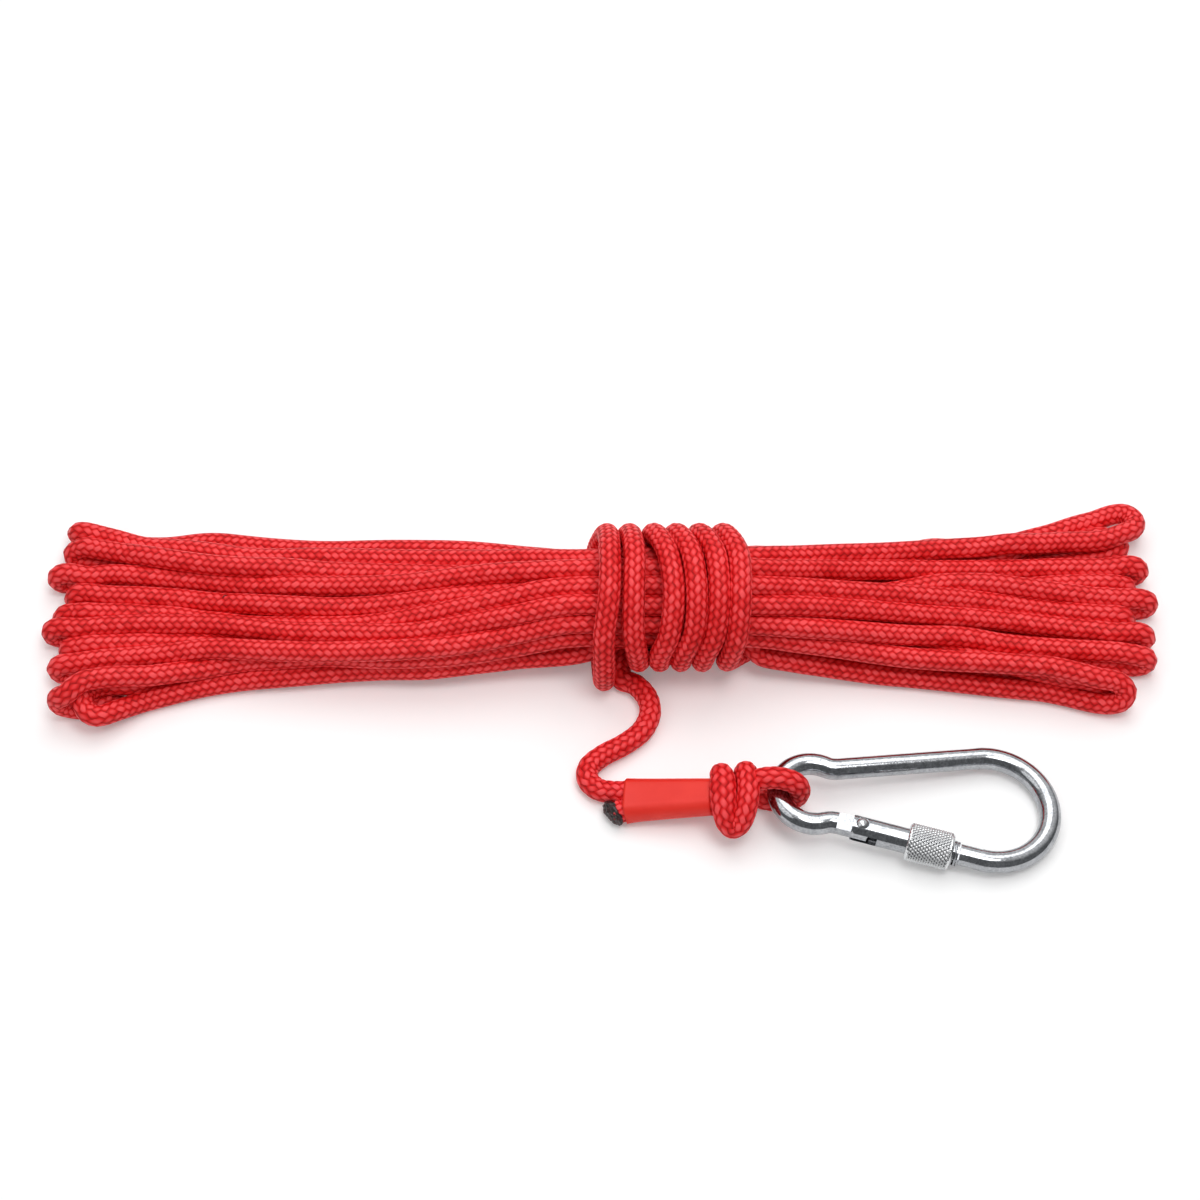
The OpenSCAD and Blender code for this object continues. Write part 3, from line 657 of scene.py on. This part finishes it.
def metalFinish(name, dark, bright, rough, groove_shade=None):
    finish = finishNamed(name)
    place = finish.node("TexCoord", out=3)
    cloudSize, cloudTone, cloudRough = plate["clouds"]
    pitSize, pitTone, pitRough = plate["pits"]
    clouds = finish.node("TexNoise", {"Vector": place, "Scale": cloudSize, "Detail": 4.0})
    pits = finish.node("TexNoise", {"Vector": place, "Scale": pitSize, "Detail": 3.0})
    mottle = (clouds - 0.5) * cloudTone + (pits - 0.5) * pitTone + 0.5
    mottle = mottle.math("MAXIMUM", 0).math("MINIMUM", 1)
    body = finish.mix(mottle, plain(dark), plain(bright))
    # Painted shade: where the attribute says, the colour is darkened towards a near-black tone,
    # standing in for the shade in grooves.
    if groove_shade:
        lies = finish.node("Attribute", out="Fac", attribute_name=groove_shade)
        body = finish.mix(lies, body, plain(plate["groove_shade_tone"]))
    lift = finish.node("Bump", {"Strength": 0.3, "Distance": plate["bump"], "Height": pits + clouds})
    return finish.set(Base_Color=body, Metallic=1.0, Normal=lift,
                      Roughness=clouds * cloudRough + pits * pitRough + rough).owner


shrinkPaint = {"dark": (0.74, 0.016, 0.009), "bright": (0.88, 0.040, 0.024), "clouds": 90.0,
               "grain": 1400.0, "bump": 0.00012, "rough": 0.38, "specular": 0.35}


def shrinkFinish():
    finish = finishNamed("heat_shrink")
    place = finish.node("TexCoord", out=3)
    clouds = finish.node("TexNoise", {"Vector": place, "Scale": shrinkPaint["clouds"], "Detail": 3.0})
    grain = finish.node("TexNoise", {"Vector": place, "Scale": shrinkPaint["grain"], "Detail": 2.0})
    body = finish.mix(clouds, plain(shrinkPaint["dark"]), plain(shrinkPaint["bright"]))
    lift = finish.node("Bump", {"Strength": 0.25, "Distance": shrinkPaint["bump"],
                                "Height": clouds + grain * 0.2})
    return finish.set(Base_Color=body, Roughness=grain * 0.1 + shrinkPaint["rough"], Normal=lift,
                      Specular_IOR_Level=shrinkPaint["specular"]).owner


charPaint = {"tones": [(0.35, (0.006, 0.005, 0.005)), (0.65, (0.045, 0.012, 0.012)),
                       (0.8, (0.20, 0.02, 0.02))],
             "crust": 700.0, "bump": 0.0003, "rough": 0.15, "dull": 0.4}


def charFinish():
    finish = finishNamed("melted_tip")
    place = finish.node("TexCoord", out=3)
    crust = finish.node("TexNoise", {"Vector": place, "Scale": charPaint["crust"], "Detail": 4.0})
    body = finish.ramp(crust, charPaint["tones"])
    lift = finish.node("Bump", {"Strength": 0.8, "Distance": charPaint["bump"], "Height": crust})
    return finish.set(Base_Color=body, Roughness=crust * charPaint["dull"] + charPaint["rough"],
                      Normal=lift).owner


zincLook = metalFinish("zinc_plate", (0.24, 0.25, 0.265), (0.50, 0.51, 0.53), 0.02)
# The knurled sleeve's colour carries painted shade in its grooves.
nutLook = metalFinish("zinc_plate_knurled", (0.54, 0.55, 0.56), (0.78, 0.79, 0.80), 0.04, "groove_shade")
steelLook = metalFinish("rivet_steel", (0.34, 0.35, 0.36), (0.58, 0.58, 0.59), 0.14)
shrinkLook, charLook = shrinkFinish(), charFinish()
for node, look in (("carabiner_frame", zincLook), ("gate", zincLook), ("hinge_rivet", steelLook),
                   ("spring_plunger", steelLook), ("gate_spring", steelLook)):
    mesh = frame["nodes"][node].data
    mesh.materials.clear()
    mesh.materials.append(look)
print("metal finished")

# The gate's own axes: x from the hinge along it, z along its pin.
joints = {joint["name"]: joint for joint in frame["joints"]}
alongGate = np.array(joints["sleeve_travel"]["axis"])
alongPin = np.array(joints["gate_hinge"]["axis"])
gateAxes = np.stack([alongGate, np.cross(alongPin, alongGate), alongPin])
gateFoot = np.array(joints["gate_hinge"]["pos_m"]) / mm


# A node's lowest and highest place along the gate, and its least and greatest radius round it.
def spanOnGate(node):
    own = np.array([v.co for v in frame["nodes"][node].data.vertices]) / mm
    own = (own - gateFoot) @ gateAxes.T
    r = np.hypot(own[:, 1], own[:, 2])
    return own[:, 0].min(), own[:, 0].max(), r.min(), r.max()


# Spins a closed outline of places along X and radii round the X axis, once round or, with a
# pitch, as a screw of so many turns.
def spun(outline, steps, turns=1, pitch=0):
    shape = bmesh.new()
    verts = [shape.verts.new((x, r, 0)) for x, r in outline]
    edges = [shape.edges.new(pair) for pair in zip(verts, verts[1:] + verts[:1])]
    bmesh.ops.spin(shape, geom=verts + edges, cent=(0, 0, 0), axis=(1, 0, 0),
                   dvec=(pitch / steps, 0, 0), angle=2 * math.pi * turns, steps=round(steps * turns),
                   use_merge=not pitch, use_duplicate=False)
    if pitch:
        rims = [edge for edge in shape.edges if edge.is_boundary]
        bmesh.ops.holes_fill(shape, edges=rims, sides=len(outline))
    bmesh.ops.recalc_face_normals(shape, faces=shape.faces)
    return shape


# Puts a shape with its own axes (millimetres) where it belongs and hands it to its body.
def placed(name, shape, origin, axes, look, body, instead=()):
    rows = [[axis[k] * mm for axis in axes] + [origin[k] * mm] for k in range(3)]
    bmesh.ops.transform(shape, matrix=Matrix(rows + [[0, 0, 0, 1]]), verts=shape.verts)
    mesh = bpy.data.meshes.new(name)
    shape.to_mesh(mesh)
    shape.free()
    mesh.polygons.foreach_set("use_smooth", [True] * len(mesh.polygons))
    mesh.materials.append(look)
    piece = show(name, mesh)
    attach(piece, body)
    if instead:
        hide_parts(*instead)
    return piece


hair = 0.001  # a length too small to matter, where places are compared
# The screw sleeve: chamfered ends, plain rims, and a knurl of two crossing sets of grooves, whose
# colour is darkened as painted shade, most where the two sets cross.
knurl = {"pitch": 1.43, "climb": 1.83, "depth": 0.5, "rim": 1.1, "chamfer": 0.9, "round": 0.12,
         "groove_shade": 1.3, "rows": 96, "sides": 288}


def makeNut():
    low, high, bore, outer = spanOnGate("screw_sleeve")
    rim, chamfer, top = knurl["rim"], knurl["chamfer"], outer - knurl["round"]
    outline = [(low, bore), (low, outer - chamfer), (low + chamfer, top)]
    outline += [(x, outer) for x in np.linspace(low + rim, high - rim, knurl["rows"])]
    outline += [(high - chamfer, top), (high, outer - chamfer), (high, bore)]
    nut = spun(outline, knurl["sides"])
    around = round(2 * math.pi * outer / knurl["pitch"])
    groove_shade = nut.verts.layers.float.new("groove_shade")
    for vertex in nut.verts:
        x, y, z = vertex.co
        if low + rim <= x + hair and x - hair <= high - rim:
            turn, climb = math.atan2(z, y) / (2 * math.pi), (x - low) / knurl["climb"]
            teeth = [1 - abs(2 * ((around * turn + lean * climb) % 1) - 1) for lean in (1, -1)]
            cut = knurl["depth"] * (1 - min(teeth))
            # Painted shade: the deeper a place lies in both sets of grooves, the darker its colour is
            # made.
            vertex[groove_shade] = min(1, knurl["groove_shade"] * (1 - teeth[0]) * (1 - teeth[1]))
            vertex.co.yz *= 1 - cut / outer
    return placed("screw_sleeve_knurled", nut, gateFoot, gateAxes, nutLook, "lock",
                  ["screw_sleeve"])


# The gate's thread, one ridge wound along its end. It rises from the share "blunt" at its ends
# by "fade" in a turn.
thread = {"core": 4.4, "pitch": 1.25, "rise": 0.17, "sink": 0.05, "run": 13.7, "back": 0.3,
          "foot": 0.55, "crest": 0.14, "steps": 40, "blunt": 0.6, "fade": 2}


def makeThread():
    start = spanOnGate("gate")[1] - thread["back"] - thread["run"]
    core, turns = thread["core"], thread["run"] / thread["pitch"]
    foot, crest = thread["foot"], thread["crest"]
    outline = [(-foot, core - thread["sink"]), (-crest, core + thread["rise"]),
               (crest, core + thread["rise"]), (foot, core - thread["sink"])]
    ridge = spun(outline, thread["steps"], turns, thread["pitch"])
    for vertex in ridge.verts:
        turn = vertex.co.x / thread["pitch"]
        full = min(1, thread["fade"] * min(turn, turns - turn) + thread["blunt"])
        if vertex.co.yz.length > core:
            vertex.co.yz *= 1 - thread["rise"] * (1 - max(full, 0)) / core
        vertex.co.x += start
    return placed("gate_thread", ridge, gateFoot, gateAxes, zincLook, "gate_arm")


nut = makeNut()
ridge = makeThread()
print("gate dressed")


# The heat-shrink sleeve: a skin drawn down over both ropes, wider and wavy at its open end.
# "flare" fades by "fade" along it and has so many "waves"; "hollow" is how far the skin sags
# between the ropes, and "straight" where round it the ropes' sides end.
shrink = {"wall": 0.7, "gap": 0.1, "len": 31.4, "back": 0.2, "rings": 40, "sides": 72,
          "flare": 0.35, "fade": 9, "waves": 3, "wave": 0.5, "turned": 1, "hollow": 0.2,
          "filled": 0.4, "taper": 0.2, "straight": 0.3}


def makeSleeve():
    start, end = np.array(sleeve["start"]), np.array(sleeve["end"])
    ahead = (end - start) / np.linalg.norm(end - start)
    across = np.cross((0, 0, 1), ahead)
    across /= np.linalg.norm(across)
    outer = rope["d"] / 2 + shrink["gap"] + shrink["wall"]
    places = np.linspace(0, shrink["len"], shrink["rings"])
    outline = [(x, outer) for x in places] + [(x, outer - shrink["wall"]) for x in places[::-1]]
    skin = spun(outline, shrink["sides"])
    for vertex in skin.verts:
        x, y, z = vertex.co
        t, turn, r = x / shrink["len"], math.atan2(z, y), math.hypot(y, z)
        flare = math.exp(-t * shrink["fade"])
        wave = 1 + shrink["wave"] * math.cos(shrink["waves"] * turn + shrink["turned"])
        r += shrink["flare"] * flare * wave - shrink["taper"] * t
        half = sleeve["half"] + (sleeve["close"] - sleeve["half"]) * t
        aside = min(max(math.cos(turn) / shrink["straight"], -1), 1) * half
        sag = shrink["hollow"] * (1 - shrink["filled"] * flare) * (1 - (aside / half) ** 2)
        lean = shrink["flare"] * flare * math.cos(2 * turn)
        fall = math.copysign(sag, z) if abs(z) > hair else 0
        vertex.co = (x - shrink["back"] + lean, aside + r * math.cos(turn), r * math.sin(turn) - fall)
    axes = (ahead, across, np.cross(ahead, across))
    return placed("heat_shrink_skin", skin, start, axes, shrinkLook, "rope",
                  ["heat_shrink_sleeve"])


# The rope's melted end: a ragged black cap, cut slanting.
tip = {"middle": (4.9, -54.3, 4.4), "size": (2.2, 5.1, 4.3), "ragged": 0.65, "bumps": 2.3,
       "grain": 0.55, "finer": 2.1, "layers": 4, "lean": 38, "clear": 0.1, "fineness": 5}


def makeTip():
    crust = bmesh.new()
    bmesh.ops.create_icosphere(crust, subdivisions=tip["fineness"], radius=1)
    for vertex in crust.verts:
        out = vertex.co.normalized()
        rough = noise.fractal(out * tip["bumps"], tip["grain"], tip["finer"], tip["layers"])
        vertex.co = Vector([c * s for c, s in zip(out, tip["size"])]) + out * (rough * tip["ragged"])
        vertex.co.z = max(vertex.co.z, tip["clear"] - tip["middle"][2])  # off the floor
    axes = np.array(Matrix.Rotation(math.radians(tip["lean"]), 3, "Z")).T
    return placed("melted_tip_crust", crust, tip["middle"], axes, charLook, "rope",
                  ["melted_tip"])


skin = makeSleeve()
crust = makeTip()
print("rope end dressed")


# A tree of all the faces of some pieces, for sight lines.
def treeOf(pieces):
    places, faces = [], []
    for piece in pieces:
        faces += [[corner + len(places) for corner in face.vertices] for face in piece.data.polygons]
        places += [vertex.co.copy() for vertex in piece.data.vertices]
    return BVHTree.FromPolygons(places, faces)


# One loose dark thread that stands up off the hank in a small arch.
fibre = {"thick": 0.17, "bend": 0.9, "arc": 0.36, "climb": 1.1, "steps": 60, "sides": 8,
         "heading": 52, "sink": 0.35}


def makeFibre():
    place, up = placeInView(treeOf([hank]), "strayFibre")
    heading = math.radians(fibre["heading"])
    ahead = Vector((math.cos(heading), math.sin(heading), 0))
    aside = up.cross(ahead).normalized()
    ahead = aside.cross(up)
    turns = [2 * math.pi * k / fibre["sides"] for k in range(fibre["sides"])]
    thick, bend = fibre["thick"], fibre["bend"]
    outline = [(thick * math.cos(t), bend + thick * math.sin(t)) for t in turns]
    arch = spun(outline, fibre["steps"], fibre["arc"], fibre["climb"])
    upright = Matrix.Rotation(math.pi * (0.5 - fibre["arc"]), 3, "X")
    bmesh.ops.rotate(arch, cent=(0, 0, 0), matrix=upright, verts=arch.verts)
    middle = place / mm - up * fibre["sink"]
    return placed("stray_fibre", arch, middle, (aside, ahead, up), charLook, "rope")


loose = makeFibre()
print("thread laid")


# Soft studio light: each lamp's place, its width in metres and its power in watts.
lamps = {"key": (0.25, -0.27, 1.3, 0.6, 5.4), "fill": (-0.7, -0.3, 0.9, 0.8, 1.6),
         "top": (0.05, 0.5, 1.1, 1.1, 6)}
# The pale floor: half its side, its tone, its dullness, and how much it glows to what sees it.
floor = {"half": 4, "tone": 0.9, "rough": 0.9, "specular": 0.1, "lift": 0.18}


def makeStudio():
    for name, (x, y, z, size, power) in lamps.items():
        data = bpy.data.lights.new(name, "AREA")
        data.shape, data.size, data.energy = "DISK", size, power
        lamp = bpy.data.objects.new(name, data)
        lamp.location = (x, y, z)
        aim = Vector(camera["aim"]) - Vector((x, y, z))
        lamp.rotation_euler = aim.to_track_quat("-Z", "Y").to_euler()
        scene.collection.objects.link(lamp)
    shape = bmesh.new()
    bmesh.ops.create_grid(shape, x_segments=1, y_segments=1, size=floor["half"])
    mesh = bpy.data.meshes.new("floor")
    shape.to_mesh(mesh)
    shape.free()
    ground = show("floor", mesh)
    paint = finishNamed("floor")
    seen = paint.node("LightPath", out="Is Transmission Ray")
    for ray in ("Is Camera Ray", "Is Glossy Ray"):
        seen = seen + paint.node("LightPath", out=ray)
    glow = paint.mix(seen, plain((0, 0, 0)), plain((floor["lift"],) * 3))
    paint.set(Base_Color=plain((floor["tone"],) * 3), Roughness=floor["rough"],
              Specular_IOR_Level=floor["specular"], Emission_Color=glow, Emission_Strength=1.0)
    mesh.materials.append(paint.owner)


# White for the camera. Bright metal sees a white studio above and behind it and a grey front:
# "back" and "up" aim its light side, and "shades" run from the dark side to the light one.
sky = {"ambient": 0.34, "back": 0.6, "up": 0.8,
       "shades": [(0.36, (0.20, 0.205, 0.21)), (0.8, (1, 1, 1))]}


def makeWorld():
    scene.world = bpy.data.worlds.new("studio")
    air = Finish(scene.world, "Background")
    way = air.node("TexCoord")
    back, up = (air.node("SeparateXYZ", {0: way}, out=axis) for axis in (1, 2))
    shade = air.ramp(back * sky["back"] + up * sky["up"], sky["shades"])
    mirror = air.node("LightPath", out="Is Glossy Ray")
    mirrored = air.mix(mirror, plain((sky["ambient"],) * 3), shade)
    straight = air.node("LightPath", out="Is Camera Ray")
    through = air.node("LightPath", out="Is Transmission Ray")
    air.set(Color=air.mix(straight + through, mirrored, plain((1, 1, 1))))


makeStudio()
makeWorld()
scene.view_settings.view_transform = "Standard"
print("studio lit")


slack = 0.0003  # how far behind the first face a corner still counts as seen


# The corners of a piece that nothing hides, where they show in the photo.
def seenPixels(piece, tree):
    seen = []
    for vertex in piece.data.vertices:
        way = vertex.co - eye.location
        far = tree.ray_cast(eye.location, way.normalized())[3]
        if far is None or far > way.length - slack:
            seen.append(vertex.co.copy())
    return pixelsOf(seen)


wire = frame["nodes"]["carabiner_frame"]
shown = [hank, lead, nut, ridge, skin, crust, loose, wire]
shown += [frame["nodes"][name] for name in ("gate", "hinge_rivet", "spring_plunger", "gate_spring")]
everything = treeOf(shown)
middles = {"rivetHead": frame["nodes"]["hinge_rivet"], "nutMiddle": nut, "threadMiddle": ridge,
           "sleeveMiddle": skin, "tipMiddle": crust, "strayFibre": loose}
wirePixels, tipPixels = seenPixels(wire, everything), seenPixels(crust, everything)
where = {"bowRight": (wirePixels[:, 0].max(), None), "bowTop": (None, wirePixels[:, 1].min()),
         "bowBottom": (None, wirePixels[:, 1].max()), "tipLeft": (tipPixels[:, 0].min(), None)}
for name, piece in middles.items():
    pixels = seenPixels(piece, everything)
    where[name] = tuple((pixels.min(0) + pixels.max(0)) / 2) if len(pixels) else (None, None)
offs = {name: [None if at is None or point is None else round(at - point, 1)
               for at, point in zip(where[name], imagePoints[name])] for name in imagePoints}
print("points", offs)

print("scene finished")
